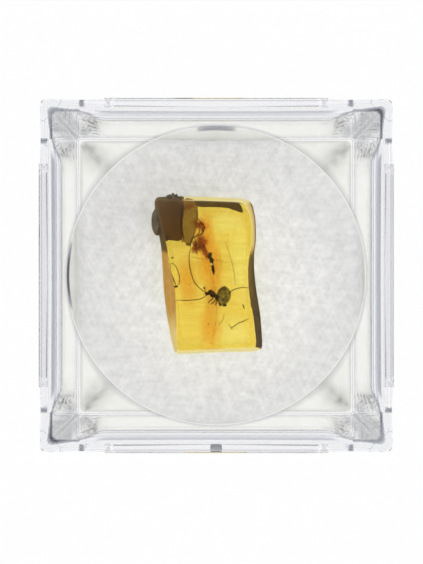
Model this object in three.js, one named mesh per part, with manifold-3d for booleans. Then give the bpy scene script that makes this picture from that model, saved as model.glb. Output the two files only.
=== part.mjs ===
// Magnifier display box: a clear moulded tray, a clear lid with its lens moulded in, a wadding floor
// liner, a square fibre pad and one polished amber specimen. Millimetres, +Z up, front is -Y.
// Origin: centre of the underside, on the surface the box stands on.
import * as THREE from "three";
import { mergeVertices } from "three/addons/utils/BufferGeometryUtils.js";
import Module from "manifold-3d";

// Overall
const BOX_WIDTH = 38; // across opposite lid tabs
const TRAY_HEIGHT = 26; // underside to rim
const TAB_PROUD = 0.15; // how far a tab stands past the tray's corner posts

// Tray
const WALL = 1.2; // at the rim
const INNER_DRAFT = 0.75; // the cavity narrows by this on each side, rim to floor
const OUTER_DRAFT = 0.35;
const FLOOR = 1.6;
const FOOT = 0.6; // height of the foot rim
const FOOT_WIDTH = 2.4;
const POST_RADIUS = 0.6; // outside corner
const CAVITY_RADIUS = 0.5;

// Recess in the top of each wall, and the bulge that keeps the wall thick behind it
const POST_LEG = 4.15; // length left at full thickness each side of a corner
const RECESS_HEIGHT = 7;
const RECESS_DEPTH = 0.85;
const BULGE_DEPTH = 0.98;
const BULGE_PAST = 0.4; // how far the bulge runs past each end of the recess
const BULGE_RUNOUT = 3.2; // S-curve at each end

// Lid
const PLATE = 1.8;
const PLATE_EDGE = 0.3; // chamfer round the top
const TAB_END_GAP = 2.7; // from a tab's end to the end of its recess
const TAB_CLEARANCE = 0.15; // between a tab and the recessed wall
const TAB_TIP_GAP = 1; // left under a tab
const TAB_LEAD = 0.3; // chamfer inside a tab's tip
const GATE_WIDTH = 1.3;
const GATE_HEIGHT = 0.45;

// Lens, moulded as one piece with the lid
const LENS_MARGIN = 1.75; // from the lens edge to the cavity wall
const LENS_RADIUS_OF_CURVE = 54; // both faces

// Soft floor
const LINER = 0.8;
const LINER_CLEARANCE = 0.2;
const PAD_WIDTH = 21.4;
const PAD_HEIGHT = 2.4;
const PAD_RADIUS = 1.2;
const PAD_RIGHT = 0.3; // the pad lies loose, a little right of the middle
const PAD_FORWARD = 0.4;

// Amber specimen
const AMBER_LENGTH = 12.9;
const AMBER_WIDTH = 7.4; // across either end
const AMBER_HEIGHT = 4.5;
const AMBER_LEAN = 1.4; // the back end sits this much further left than the front end
const AMBER_BULGE = 0.55; // swelling near the back right corner
const AMBER_WAIST = 0.35; // hollow in the right side
const AMBER_BEVEL = 0.5;

// Fits that follow from the sizes above
const rimHalf = BOX_WIDTH / 2 - TAB_PROUD;
const cavityHalf = rimHalf - WALL;
const floorTop = FOOT + FLOOR;
const recessFace = rimHalf - RECESS_DEPTH;
const recessHalf = rimHalf - POST_LEG;
const bulgeHalf = recessHalf + BULGE_PAST - BULGE_RUNOUT; // straight middle only
const tabHalf = recessHalf - TAB_END_GAP;
const lensHalf = cavityHalf - LENS_MARGIN;
const plateTop = TRAY_HEIGHT + PLATE;
const linerTop = floorTop + LINER;
const padTop = linerTop + PAD_HEIGHT;

const wasm = await Module();
wasm.setup();

function toSolid(geometry) {
  const bare = new THREE.BufferGeometry();
  const flat = geometry.index ? geometry.toNonIndexed() : geometry;
  bare.setAttribute("position", flat.getAttribute("position"));
  const merged = mergeVertices(bare, 1e-4);
  return new wasm.Manifold(
    new wasm.Mesh({
      numProp: 3,
      vertProperties: merged.attributes.position.array,
      triVerts: new Uint32Array(merged.index.array),
    }),
  );
}

function toGeometry(solid) {
  const m = solid.getMesh();
  const g = new THREE.BufferGeometry();
  g.setAttribute("position", new THREE.BufferAttribute(m.vertProperties, 3));
  g.setIndex(new THREE.BufferAttribute(m.triVerts, 1));
  g.computeVertexNormals();
  return g;
}

// Stack of equal-count counterclockwise rings, each [[x, y], ...] at a height, closed top and bottom.
function loft(levels) {
  const count = levels[0].ring.length;
  const positions = [];
  const index = [];
  for (const { ring, z } of levels) for (const [x, y] of ring) positions.push(x, y, z);
  for (let k = 0; k + 1 < levels.length; k++) {
    for (let i = 0; i < count; i++) {
      const a = k * count + i;
      const b = k * count + ((i + 1) % count);
      index.push(a, b, b + count, a, b + count, a + count);
    }
  }
  const outline = levels[0].ring.map(([x, y]) => new THREE.Vector2(x, y));
  const lid = (levels.length - 1) * count;
  for (const [a, b, c] of THREE.ShapeUtils.triangulateShape(outline, [])) {
    index.push(c, b, a);
    index.push(a + lid, b + lid, c + lid);
  }
  const g = new THREE.BufferGeometry();
  g.setAttribute("position", new THREE.BufferAttribute(new Float32Array(positions), 3));
  g.setIndex(index);
  return g;
}

function roundedSquare(half, radius, steps = 5) {
  const ring = [];
  for (let corner = 0; corner < 4; corner++) {
    const turn = (corner * Math.PI) / 2;
    const cx = (half - radius) * Math.SQRT2 * Math.cos(turn + Math.PI / 4);
    const cy = (half - radius) * Math.SQRT2 * Math.sin(turn + Math.PI / 4);
    for (let i = 0; i <= steps; i++) {
      const a = turn + (i / steps) * (Math.PI / 2);
      ring.push([cx + radius * Math.cos(a), cy + radius * Math.sin(a)]);
    }
  }
  return ring;
}

function box(x0, x1, y0, y1, z0, z1) {
  const g = new THREE.BoxGeometry(x1 - x0, y1 - y0, z1 - z0);
  return g.translate((x0 + x1) / 2, (y0 + y1) / 2, (z0 + z1) / 2);
}

// One copy of a solid for each side of the box, from the one on the +Y side.
const fourSides = (solid) => [0, 90, 180, 270].map((deg) => solid.rotate([0, 0, deg]));

// ---- tray ----
const shell = toSolid(
  loft([
    { ring: roundedSquare(rimHalf - OUTER_DRAFT, POST_RADIUS), z: 0 },
    { ring: roundedSquare(rimHalf, POST_RADIUS), z: TRAY_HEIGHT },
  ]),
);
const over = 1; // cutters run this far past the face they open
const draftPerMm = INNER_DRAFT / (TRAY_HEIGHT - floorTop);
const cavity = toSolid(
  loft([
    { ring: roundedSquare(cavityHalf - INNER_DRAFT, CAVITY_RADIUS), z: floorTop },
    { ring: roundedSquare(cavityHalf + over * draftPerMm, CAVITY_RADIUS), z: TRAY_HEIGHT + over },
  ]),
);
const footHalf = rimHalf - OUTER_DRAFT - FOOT_WIDTH;
const footPocket = toSolid(
  loft([
    { ring: roundedSquare(footHalf, CAVITY_RADIUS), z: -over },
    { ring: roundedSquare(footHalf, CAVITY_RADIUS), z: FOOT },
  ]),
);

// Bulge on the +Y wall: full depth at the rim, running out to nothing at the floor.
function bulgeRing(depth, wallFace) {
  const steps = 8;
  const ring = [];
  for (let i = 0; i <= steps; i++) {
    const t = i / steps;
    ring.push([-bulgeHalf - BULGE_RUNOUT * (1 - t), wallFace - depth * t * t * (3 - 2 * t)]);
  }
  for (let i = 0; i <= steps; i++) {
    const t = 1 - i / steps;
    ring.push([bulgeHalf + BULGE_RUNOUT * (1 - t), wallFace - depth * t * t * (3 - 2 * t)]);
  }
  ring.push([bulgeHalf + BULGE_RUNOUT, wallFace + WALL / 3]);
  ring.push([-bulgeHalf - BULGE_RUNOUT, wallFace + WALL / 3]);
  return ring;
}
const bulge = toSolid(
  loft([
    { ring: bulgeRing(0.01, cavityHalf - INNER_DRAFT), z: floorTop - FLOOR / 2 },
    { ring: bulgeRing(BULGE_DEPTH, cavityHalf), z: TRAY_HEIGHT },
  ]),
);
const recess = toSolid(
  box(
    -recessHalf,
    recessHalf,
    recessFace,
    rimHalf + over,
    TRAY_HEIGHT - RECESS_HEIGHT,
    TRAY_HEIGHT + over,
  ),
);
let traySolid = shell.subtract(cavity).subtract(footPocket);
for (const side of fourSides(bulge)) traySolid = traySolid.add(side);
for (const side of fourSides(recess)) traySolid = traySolid.subtract(side);

// ---- lid ----
const plate = toSolid(
  loft([
    { ring: roundedSquare(rimHalf, POST_RADIUS), z: TRAY_HEIGHT },
    { ring: roundedSquare(rimHalf, POST_RADIUS), z: plateTop - PLATE_EDGE },
    { ring: roundedSquare(rimHalf - PLATE_EDGE, POST_RADIUS - PLATE_EDGE / 2), z: plateTop },
  ]),
);
// Tab cross-section across the wall, then pushed along the wall.
const tabOut = BOX_WIDTH / 2;
const tabIn = recessFace + TAB_CLEARANCE;
const tabTip = TRAY_HEIGHT - RECESS_HEIGHT + TAB_TIP_GAP;
const tabShape = new THREE.Shape();
tabShape.moveTo(tabIn, TRAY_HEIGHT + PLATE / 2);
tabShape.lineTo(tabIn, tabTip + TAB_LEAD);
tabShape.lineTo(tabIn + TAB_LEAD, tabTip);
tabShape.lineTo(tabOut, tabTip);
tabShape.lineTo(tabOut, plateTop - PLATE_EDGE);
tabShape.lineTo(rimHalf - PLATE_EDGE, plateTop - PLATE_EDGE);
tabShape.closePath();
const tabGeometry = new THREE.ExtrudeGeometry(tabShape, { depth: 2 * tabHalf, bevelEnabled: false });
tabGeometry.rotateX(Math.PI / 2); // shape height becomes +Z, length runs to -Y
tabGeometry.translate(0, tabHalf, 0);
const tab = toSolid(tabGeometry);
const gate = toSolid(
  box(
    -GATE_WIDTH / 2,
    GATE_WIDTH / 2,
    -tabOut,
    -tabIn - TAB_LEAD,
    tabTip - GATE_HEIGHT,
    tabTip + TAB_LEAD,
  ),
);
const sagitta = LENS_RADIUS_OF_CURVE - Math.sqrt(LENS_RADIUS_OF_CURVE ** 2 - lensHalf ** 2);
const spread = Math.asin(lensHalf / LENS_RADIUS_OF_CURVE);
const lensProfile = [];
const arcSteps = 10;
for (let i = 0; i <= arcSteps; i++) {
  const a = (spread * i) / arcSteps;
  const drop = LENS_RADIUS_OF_CURVE * (1 - Math.cos(a));
  const radius = LENS_RADIUS_OF_CURVE * Math.sin(a);
  lensProfile.push(new THREE.Vector2(radius, TRAY_HEIGHT - sagitta + drop));
}
for (let i = arcSteps; i >= 0; i--) {
  const a = (spread * i) / arcSteps;
  const drop = LENS_RADIUS_OF_CURVE * (1 - Math.cos(a));
  const radius = LENS_RADIUS_OF_CURVE * Math.sin(a);
  lensProfile.push(new THREE.Vector2(radius, plateTop + sagitta - drop));
}
const lensGeometry = new THREE.LatheGeometry(lensProfile, 72).rotateX(Math.PI / 2);
const lens = toSolid(lensGeometry);
let lidSolid = plate.add(lens).add(gate);
for (const side of fourSides(tab)) lidSolid = lidSolid.add(side);

// ---- liner and pad ----
const linerHalf = cavityHalf - INNER_DRAFT - LINER_CLEARANCE;
const linerGeometry = loft([
  { ring: roundedSquare(linerHalf, CAVITY_RADIUS), z: floorTop },
  { ring: roundedSquare(linerHalf, CAVITY_RADIUS), z: linerTop },
]);
const padGeometry = loft([
  { ring: roundedSquare(PAD_WIDTH / 2, PAD_RADIUS), z: linerTop },
  { ring: roundedSquare(PAD_WIDTH / 2, PAD_RADIUS), z: padTop },
]).translate(PAD_RIGHT, -PAD_FORWARD, 0);

// ---- amber: a leaning four-sided slab, bulged and waisted on its right side ----
const end = AMBER_LENGTH / 2 - AMBER_BEVEL;
const across = AMBER_WIDTH / 2 - AMBER_BEVEL;
const stone = new THREE.Shape();
stone.moveTo(-across, -end);
stone.lineTo(across - AMBER_BEVEL, -end);
stone.quadraticCurveTo(across, -end, across, -end + AMBER_BEVEL);
stone.bezierCurveTo(
  across - AMBER_BULGE,
  -end / 3,
  across - AMBER_LEAN - AMBER_WAIST - AMBER_BULGE,
  end / 8,
  across - AMBER_LEAN + AMBER_BULGE,
  end * 0.6,
);
stone.quadraticCurveTo(across - AMBER_LEAN + AMBER_BULGE, end, across - AMBER_LEAN - AMBER_BULGE, end);
stone.lineTo(-across - AMBER_LEAN + AMBER_BEVEL, end);
stone.quadraticCurveTo(-across - AMBER_LEAN, end, -across - AMBER_LEAN, end - AMBER_BEVEL);
stone.quadraticCurveTo(-across - AMBER_LEAN * 0.7, 0, -across, -end);
const amberGeometry = new THREE.ExtrudeGeometry(stone, {
  depth: AMBER_HEIGHT - 2 * AMBER_BEVEL,
  bevelEnabled: true,
  bevelThickness: AMBER_BEVEL,
  bevelSize: AMBER_BEVEL,
  bevelSegments: 3,
  curveSegments: 8,
});
amberGeometry.translate(0, 0, padTop + AMBER_BEVEL);

// ---- assembly ----
const clear = { color: 0xf3f7fa, roughness: 0.04, metalness: 0 };
const root = new THREE.Group();
root.name = "magnifier_display_box";
function add(name, geometry, look) {
  const mesh = new THREE.Mesh(geometry, new THREE.MeshStandardMaterial(look));
  mesh.name = name;
  root.add(mesh);
}
add("tray", toGeometry(traySolid), clear);
add("lens_lid", toGeometry(lidSolid), clear);
add("floor_liner", linerGeometry, { color: 0xe9e8de, roughness: 0.95, metalness: 0 });
add("fibre_pad", padGeometry, { color: 0xe6e8e8, roughness: 0.95, metalness: 0 });
add("amber_specimen", amberGeometry, { color: 0xe0a428, roughness: 0.08, metalness: 0 });

export default root;
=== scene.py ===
# Clear magnifier display box with an amber specimen on a fibre pad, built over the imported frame.
import math
import bpy
import numpy as np
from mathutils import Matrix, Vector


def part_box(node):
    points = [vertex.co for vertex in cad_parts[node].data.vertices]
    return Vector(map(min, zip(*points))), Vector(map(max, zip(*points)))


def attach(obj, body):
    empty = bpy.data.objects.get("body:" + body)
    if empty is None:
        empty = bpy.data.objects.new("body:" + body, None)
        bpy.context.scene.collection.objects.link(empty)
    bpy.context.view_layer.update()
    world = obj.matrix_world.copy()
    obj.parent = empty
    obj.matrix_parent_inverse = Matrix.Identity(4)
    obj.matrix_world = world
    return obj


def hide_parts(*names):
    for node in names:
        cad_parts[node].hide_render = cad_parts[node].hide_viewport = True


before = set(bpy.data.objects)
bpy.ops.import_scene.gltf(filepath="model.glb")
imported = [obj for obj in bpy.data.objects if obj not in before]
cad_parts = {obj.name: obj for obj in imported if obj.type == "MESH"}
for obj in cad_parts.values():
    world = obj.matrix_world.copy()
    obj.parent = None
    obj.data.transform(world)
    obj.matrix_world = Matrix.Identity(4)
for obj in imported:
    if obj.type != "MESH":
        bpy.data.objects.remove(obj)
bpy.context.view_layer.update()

MM = 0.001

# ==== View: camera straight above, pale floor, even white studio light ====
# The camera stands a little to one side of the box's middle, high enough to flatten the walls.
scene = bpy.context.scene
scene.view_settings.view_transform = "Standard"
scene.cycles.max_bounces = 32  # light runs a long way inside the clear walls
scene.cycles.glossy_bounces = 32
scene.cycles.transmission_bounces = 32
scene.cycles.transparent_max_bounces = 40
camera = bpy.data.objects.new("camera", bpy.data.cameras.new("camera"))
scene.collection.objects.link(camera)
scene.camera = camera
camera.location = (-0.51 * MM, -0.70 * MM, 186.4 * MM)
camera.data.lens = 94.8
camera.data.clip_start = 5 * MM


def add_node(tree, kind, links=(), **values):
    """Add a shader node, set its named attributes or inputs, and link (input, output) pairs."""
    node = tree.nodes.new(kind)
    for name, value in values.items():
        if hasattr(node, name):
            setattr(node, name, value)
        else:
            node.inputs[name.replace("_", " ")].default_value = value
    for target, source in links:
        tree.links.new(node.inputs[target], source)
    return node


def seen_white(tree, rays):
    """Largest of the named Light Path outputs: 1 for the rays that should meet plain white."""
    path = add_node(tree, "ShaderNodeLightPath")
    value = path.outputs[rays[0]]
    for name in rays[1:]:
        value = add_node(
            tree, "ShaderNodeMath", [(0, value), (1, path.outputs[name])], operation="MAXIMUM"
        ).outputs[0]
    return value


world = bpy.data.worlds.new("studio")
scene.world = world
world.use_nodes = True
tree = world.node_tree
tree.nodes.clear()
direction = add_node(tree, "ShaderNodeTexCoord")
split = add_node(tree, "ShaderNodeSeparateXYZ", [(0, direction.outputs["Generated"])])
sky = add_node(tree, "ShaderNodeValToRGB", [(0, split.outputs["Z"])])
sky.color_ramp.elements[0].position = 0.1
sky.color_ramp.elements[0].color = (0.45, 0.46, 0.52, 1)
sky.color_ramp.elements[1].position = 0.4
sky.color_ramp.elements[1].color = (1.0, 1.0, 1.0, 1)
# The studio is lit from all round and has a dim ceiling, which keeps the lens face free of glare.
ceiling = add_node(tree, "ShaderNodeMapRange", [("Value", split.outputs["Z"])])
for name, value in (("From Min", 0.7), ("From Max", 0.93), ("To Min", 0.8), ("To Max", 0.05)):
    ceiling.inputs[name].default_value = value
through = add_node(tree, "ShaderNodeMapRange", [("Value", seen_white(tree, ["Is Transmission Ray"]))])
through.inputs["To Min"].default_value = 1.08
through.inputs["To Max"].default_value = 0.75
strength = add_node(
    tree,
    "ShaderNodeMapRange",
    [
        ("Value", seen_white(tree, ["Is Glossy Ray"])),
        ("To Min", through.outputs[0]),
        ("To Max", ceiling.outputs[0]),
    ],
)
lamp = add_node(
    tree, "ShaderNodeBackground", [("Color", sky.outputs[0]), ("Strength", strength.outputs[0])]
)
plain = add_node(tree, "ShaderNodeBackground", Color=(1, 1, 1, 1), Strength=1.0)
pick = add_node(
    tree,
    "ShaderNodeMixShader",
    [(0, seen_white(tree, ["Is Camera Ray"])), (1, lamp.outputs[0]), (2, plain.outputs[0])],
)
add_node(tree, "ShaderNodeOutputWorld", [("Surface", pick.outputs[0])])

floor_mesh = bpy.data.meshes.new("floor")
FLOOR_HALF = 1.5  # metres
corners = [(x * FLOOR_HALF, y * FLOOR_HALF, 0) for x, y in ((-1, -1), (1, -1), (1, 1), (-1, 1))]
floor_mesh.from_pydata(corners, [], [(0, 1, 2, 3)])
floor = bpy.data.objects.new("floor", floor_mesh)
scene.collection.objects.link(floor)
floor.location.z = -0.05 * MM
floor_look = bpy.data.materials.new("floor_white")
floor_look.use_nodes = True
tree = floor_look.node_tree
tree.nodes.clear()
matt = add_node(tree, "ShaderNodeBsdfDiffuse", Color=(0.9, 0.9, 0.9, 1))
white = add_node(tree, "ShaderNodeEmission", Color=(1, 1, 1, 1), Strength=1.0)
share = add_node(
    tree,
    "ShaderNodeMath",
    [
        (0, seen_white(tree, ["Is Camera Ray"])),
        (2, seen_white(tree, ["Is Glossy Ray", "Is Transmission Ray"])),
    ],
    operation="MULTIPLY_ADD",
    use_clamp=True,
)
share.inputs[1].default_value = 0.9  # the rest of the floor's light is diffuse and takes the shadow
pick = add_node(
    tree,
    "ShaderNodeMixShader",
    [(0, share.outputs[0]), (1, matt.outputs[0]), (2, white.outputs[0])],
)
add_node(tree, "ShaderNodeOutputMaterial", [("Surface", pick.outputs[0])])
floor_mesh.materials.append(floor_look)

# ==== Tray: injection-moulded clear acrylic, the lower half of the box ====
# Drafted walls with small radii, a raised foot rim, and near the rim of each wall a recess for the
# lid's tab. The wall bulges inwards behind each recess, with S-curved ends.
tray_high = np.array(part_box("tray")[1]) / MM
rim = tray_high[2]
AIR = 0.05  # film of air left between the lid and the rim it rests on
post = tray_high[0]  # outer face of a corner post at the rim
WALL = 1.2
inner = post - WALL
OUTER_DRAFT = 0.35
INNER_DRAFT = 0.75
FOOT = 0.6  # height of the foot rim
FOOT_WIDTH = 2.4
FLOOR_TOP = 2.2
INNER_CORNER = 0.45
RECESS_HALF = 14.7
RECESS_DEPTH = 0.85
RECESS_FLOOR = rim - 7.0
BULGE_DEPTH = 0.98
BULGE_END = 15.1
BULGE_RUNOUT = 3.2  # S-curve at each end
CORNER_STEPS = 12  # points round each corner of a ring
EVEN_REACH = 15.5  # up to this distance from a side's middle, points stand alike on every ring


def ramp(value, start, end):
    """Smooth step: 0 up to start, 1 from end on, with flat ends."""
    t = np.clip((value - start) / (end - start), 0, 1)
    return t * t * (3 - 2 * t)


def square_ring(half, radius, z, along, inset=0.0, corner=CORNER_STEPS):
    """Points round a rounded square at height z, counterclockwise, the same count at every size.

    Along each side they stand at the distances in along from its middle, set in by inset (and at
    height z, which may also change along the side); each corner is a quarter circle. On a smaller
    square the outermost distances are drawn in to end where the corner starts.
    """
    beyond = np.abs(along) - EVEN_REACH
    fit = (half - radius - 0.05 - EVEN_REACH) / beyond.max()
    if half > EVEN_REACH + 0.5:
        along = np.sign(along) * np.minimum(np.abs(along), EVEN_REACH + beyond * min(fit, 1))
    t = along[::-1]
    side = np.stack([t, half - np.broadcast_to(inset, t.shape)[::-1]], axis=1)
    height = np.broadcast_to(z, t.shape)[::-1]
    turn = np.linspace(np.pi / 2, np.pi, corner)
    arc = np.stack([radius - half + radius * np.cos(turn), half - radius + radius * np.sin(turn)], axis=1)
    points = np.concatenate([side, arc])
    heights = np.concatenate([height, np.full(corner, height[-1])])
    rings = []
    for k in range(4):
        c, s = round(math.cos(k * math.pi / 2)), round(math.sin(k * math.pi / 2))
        rings.append(np.column_stack([points @ np.array([[c, s], [-s, c]]), heights]))
    return np.concatenate(rings)


def skin(name, *islands, smooth=40, closed=False, **marks):
    """Closed mesh from rings of equal count, first to last, in mm, with a fan at each end, or, where
    closed is true, with the last ring joined to the first.

    Each island is one array of rings. A mark is an array of one number per ring point (one list of
    arrays where there are several islands), kept as a point attribute for the material.
    """
    verts, faces, start = [], [], 0
    for rows in islands:
        rows = np.asarray(rows, dtype=float)
        count, n = rows.shape[:2]
        verts.append(rows.reshape(-1, 3))
        i = np.arange(n)
        j = (i + 1) % n
        k = np.arange(count if closed else count - 1)[:, None] * n
        up = (k + n) % (count * n)
        parts = [np.stack([k + i, k + j, up + j, up + i], axis=2).reshape(-1, 4)]
        if not closed:
            verts.append([rows[0].mean(axis=0), rows[-1].mean(axis=0)])
            last = (count - 1) * n
            parts.append(np.stack([np.full(n, count * n), j, i], axis=1))
            parts.append(np.stack([np.full(n, count * n + 1), last + i, last + j], axis=1))
        for part in parts:
            faces += (part + start).tolist()
        start += count * n + (0 if closed else 2)
    mesh = bpy.data.meshes.new(name)
    mesh.from_pydata((np.concatenate(verts) * MM).tolist(), [], faces)
    mesh.polygons.foreach_set("use_smooth", [True] * len(mesh.polygons))
    mesh.set_sharp_from_angle(angle=math.radians(smooth))
    for label, values in marks.items():
        flat = [np.concatenate([np.ravel(v), [] if closed else np.ravel(v)[[0, -1]]]) for v in values]
        layer = mesh.attributes.new(label, "FLOAT", "POINT")
        layer.data.foreach_set("value", np.concatenate(flat).astype(np.float32))
    mesh.update()
    piece = bpy.data.objects.new(name, mesh)
    scene.collection.objects.link(piece)
    return piece


half_side = np.concatenate(
    [
        [0, 2, 4, 6, 8, 10, 11.5],
        [12.3, 12.6, 12.9, 13.2, 13.5, 13.8, 14.1, 14.4],  # down the bulge's S-curve
        [RECESS_HALF - 0.06, RECESS_HALF + 0.04],  # either side of the recess's end
        [14.9, BULGE_END, 15.6],
    ]
)
tray_along = np.concatenate([-half_side[:0:-1], half_side])
recess = RECESS_DEPTH * (1 - ramp(np.abs(tray_along), RECESS_HALF - 0.04, RECESS_HALF + 0.02))
bulge = BULGE_DEPTH * (1 - ramp(np.abs(tray_along), BULGE_END - BULGE_RUNOUT, BULGE_END))


def outer_half(z):
    """Half-width of the tray outside at height z."""
    return post - OUTER_DRAFT * (1 - z / rim)


def inner_half(z):
    """Half-width of the cavity at height z."""
    return inner - INNER_DRAFT * (rim - z) / (rim - FLOOR_TOP)


RIM_FILLET = 0.95
POST_FILLET = 0.45
rounded = POST_FILLET + (RIM_FILLET - POST_FILLET) * bulge / BULGE_DEPTH  # broader along the bulge
fillet = np.clip(post - inner - recess + bulge - 0.25, 0.08, rounded)  # less where the wall is thin


def inner_row(z, shift=0.0, rounding=0.0):
    """Ring on the cavity wall at height z, set out by shift, with the bulge's share at that height.

    rounding is the share of the rim fillet by which the ring stands out further.
    """
    part = np.clip((z - FLOOR_TOP) / (rim - FLOOR_TOP), 0, 1)
    inset = bulge * part + rounding * (RIM_FILLET - fillet)
    half = inner_half(z) + shift + rounding * RIM_FILLET
    return square_ring(half, INNER_CORNER, z, tray_along, inset)


foot_half = post - OUTER_DRAFT - FOOT_WIDTH
foot_base = square_ring(foot_half - 0.1, 0.5, FOOT, tray_along)
rows = [foot_base * [s, s, 1] for s in (0.02, 0.4, 0.8)]
rows += [
    foot_base,
    square_ring(foot_half, 0.5, FOOT - 0.1, tray_along),
    square_ring(foot_half, 0.5, 0.1, tray_along),
    square_ring(foot_half + 0.1, 0.5, 0, tray_along),
    square_ring(outer_half(0) - 0.25, 0.5, 0, tray_along),
    square_ring(outer_half(0) - 0.07, 0.55, 0.07, tray_along),
    square_ring(outer_half(0.25), 0.6, 0.25, tray_along),
]
rows += [square_ring(outer_half(z), 0.6, z, tray_along) for z in (3, 7, 11, 15, RECESS_FLOOR - 0.06)]
rows += [
    square_ring(outer_half(z), 0.6, z, tray_along, recess)
    for z in (RECESS_FLOOR, RECESS_FLOOR + 0.08, 21, 23.5, rim - 0.2)
]
rows += [
    square_ring(post - 0.03, 0.58, rim - AIR - 0.05, tray_along, recess),
    square_ring(post - 0.1, 0.55, rim - AIR, tray_along, recess),
]
fillet_row = len(rows)
for a in (0.0, 0.3, 0.6, 0.9, 1.2, 1.5):
    rows.append(inner_row(rim - AIR - RIM_FILLET * (1 - math.cos(a)), 0.0, 1 - math.sin(a)))
rows += [inner_row(z) for z in (24, 21.5, 19, 16, 13, 10, 7, 4.5, 3.2)]
FLOOR_FILLET = 0.5
for a in (0.3, 0.7, 1.1, 1.5):
    rows.append(
        inner_row(FLOOR_TOP + FLOOR_FILLET * (1 - math.sin(a)), -FLOOR_FILLET * (1 - math.cos(a)))
    )
rows += [rows[-1] * [s, s, 1] for s in (0.95, 0.6, 0.3, 0.02)]

# Dark lines of the rim, painted shade by the dark-mark attribute: down the fillet and the top of the wall,
# stronger beside the corner posts than along the bulge. They stand in for the dark refraction in a real
# moulded rim.
worn = np.zeros(np.asarray(rows).shape[:2])
post_rim = np.array([0, 0.1, 0.6, 1.0, 1.0, 0.6, 0.1, 0.0])
side_rim = np.array([0.6, 0.5, 0.3, 0.25, 0.4, 0.5, 0.4, 0.1])
behind = np.concatenate([(bulge / BULGE_DEPTH)[::-1], np.zeros(CORNER_STEPS)])
rim_rows = slice(fillet_row, fillet_row + len(post_rim))
for k, strong in enumerate((0.8, 1.0, 0.8, 1.0)):  # far, left, near and right side
    part = slice(k * len(behind), (k + 1) * len(behind))
    worn[rim_rows, part] = strong * (post_rim[:, None] * (1 - behind) + side_rim[:, None] * behind)
tray = skin("tray_shell", rows, worn=[worn])


def group_start(name, inputs, outputs):
    """New shader node group with float inputs {name: default} and outputs [(name, kind)]."""
    group = bpy.data.node_groups.new(name, "ShaderNodeTree")
    for label, value in inputs.items():
        socket = group.interface.new_socket(label, in_out="INPUT", socket_type="NodeSocketFloat")
        socket.default_value = value
    for label, kind in outputs:
        group.interface.new_socket(label, in_out="OUTPUT", socket_type=kind)
    return group, group.nodes.new("NodeGroupInput"), group.nodes.new("NodeGroupOutput")


# Polish: faint rubs and dust-fine scratches, as height and roughness, for clear and for amber pieces.
polish, given, result = group_start(
    "polish",
    {"Scale": 900.0, "Base Roughness": 0.02, "Spread": 0.05},
    [("Roughness", "NodeSocketFloat"), ("Height", "NodeSocketFloat")],
)
place = add_node(polish, "ShaderNodeTexCoord")
stretch = add_node(
    polish,
    "ShaderNodeMapping",
    [("Vector", place.outputs["Object"])],
    Rotation=(0.3, 0.2, 0.6),
    Scale=(1.0, 0.12, 0.4),
)
rub = add_node(
    polish,
    "ShaderNodeTexNoise",
    [("Vector", stretch.outputs[0]), ("Scale", given.outputs["Scale"])],
    Detail=3.0,
    Roughness=0.6,
)
smear = add_node(
    polish, "ShaderNodeTexNoise", [("Vector", place.outputs["Object"])], Scale=220.0, Detail=2.0
)
level = add_node(
    polish,
    "ShaderNodeMath",
    [(0, smear.outputs["Fac"]), (1, given.outputs["Spread"]), (2, given.outputs["Base Roughness"])],
    operation="MULTIPLY_ADD",
)
polish.links.new(result.inputs["Roughness"], level.outputs[0])
polish.links.new(result.inputs["Height"], rub.outputs["Fac"])


def clear_material(
    name,
    ior,
    tint,
    density,
    roughness,
    spread,
    bump,
    scale=900.0,
    shade_and_wear_colours=(),
    rough=0.3,
    plain=(1, 1, 1, 1),
):
    """Clear solid: smooth refraction, plain absorption inside, and light let through to what it holds.

    tint and density are the absorption's. roughness and spread are the polish's least roughness and
    how far rubs raise it, bump and scale their relief. The piece's dark-mark attribute, 0 to 1, adds the
    roughness rough and turns the surface from its plain colour to a colour from the given list of
    (mark, colour) pairs: painted shade, and a little grey on the lid's left and right tabs.
    """
    look = bpy.data.materials.new(name)
    look.use_nodes = True
    tree = look.node_tree
    tree.nodes.clear()
    marks = add_node(tree, "ShaderNodeGroup", node_tree=polish)
    marks.inputs["Scale"].default_value = scale
    marks.inputs["Base Roughness"].default_value = roughness
    marks.inputs["Spread"].default_value = spread
    relief = add_node(
        tree, "ShaderNodeBump", [("Height", marks.outputs["Height"])], Strength=bump, Distance=0.02 * MM
    )
    # Dark marks from the attribute: painted shade, and a little grey on the lid's left and right tabs.
    worn = add_node(tree, "ShaderNodeAttribute", attribute_name="worn")
    shade = add_node(tree, "ShaderNodeValToRGB", [(0, worn.outputs["Fac"])])
    shade.color_ramp.elements[0].color = plain
    shade.color_ramp.elements[1].color = shade_and_wear_colours[-1][1] if shade_and_wear_colours else plain
    for position, colour in shade_and_wear_colours[:-1]:
        shade.color_ramp.elements.new(position).color = colour
    matt = add_node(
        tree,
        "ShaderNodeMath",
        [(0, worn.outputs["Fac"]), (2, marks.outputs["Roughness"])],
        operation="MULTIPLY_ADD",
    )
    matt.inputs[1].default_value = rough
    body = add_node(
        tree,
        "ShaderNodeBsdfPrincipled",
        [
            ("Base Color", shade.outputs[0]),
            ("Roughness", matt.outputs[0]),
            ("Normal", relief.outputs[0]),
        ],
        Transmission_Weight=1.0,
        IOR=ior,
    )
    through = add_node(tree, "ShaderNodeBsdfTransparent")
    pick = add_node(
        tree,
        "ShaderNodeMixShader",
        [
            (0, seen_white(tree, ["Is Shadow Ray", "Is Diffuse Ray"])),
            (1, body.outputs[0]),
            (2, through.outputs[0]),
        ],
    )
    soak = add_node(tree, "ShaderNodeVolumeAbsorption", Color=tint, Density=density)
    add_node(
        tree, "ShaderNodeOutputMaterial", [("Surface", pick.outputs[0]), ("Volume", soak.outputs[0])]
    )
    return look


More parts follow.
